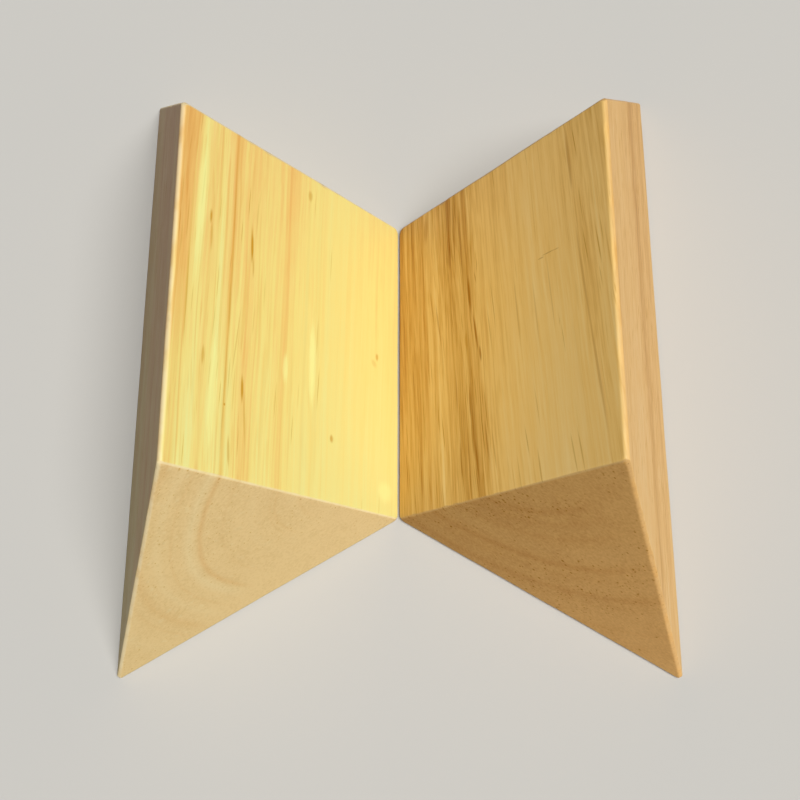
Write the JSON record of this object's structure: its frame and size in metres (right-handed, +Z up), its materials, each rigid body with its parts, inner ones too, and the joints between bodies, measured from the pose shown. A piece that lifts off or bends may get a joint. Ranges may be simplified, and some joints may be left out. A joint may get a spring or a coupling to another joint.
{
  "type": "two-piece pyramid puzzle",
  "caption": "Solid wooden pyramid puzzle: congruent half-tetrahedra, each cut square across the middle, lying side by side with short edges together.",
  "frame": {"origin": "on the table plane, at the middle of the line where the two halves' short bottom edges meet", "axes": "+X from the left half to the right half, +Y along the wood grain and the short edges, away from the viewer, +Z up"},
  "size_m": [0.0684, 0.0788, 0.0322],
  "materials": {
    "left_wood": "fine-sanded bare pale hardwood, satin, straight grain along Y with short dark vessel streaks and warm bands",
    "right_wood": "fine-sanded bare tan hardwood, satin, straight grain along Y with fine brown streaks beside the short edge"
  },
  "bodies": {
    "left_half": {"left_half": "left_wood"},
    "right_half": {"right_half": "right_wood"}
  },
  "joints": [
    {"name": "fold", "type": "hinge", "parent": "left_half", "child": "right_half", "pos_m": [0, 0, 0.00056], "axis": [0, -1, 0], "range_deg": [0, 70.5]}
  ]
}
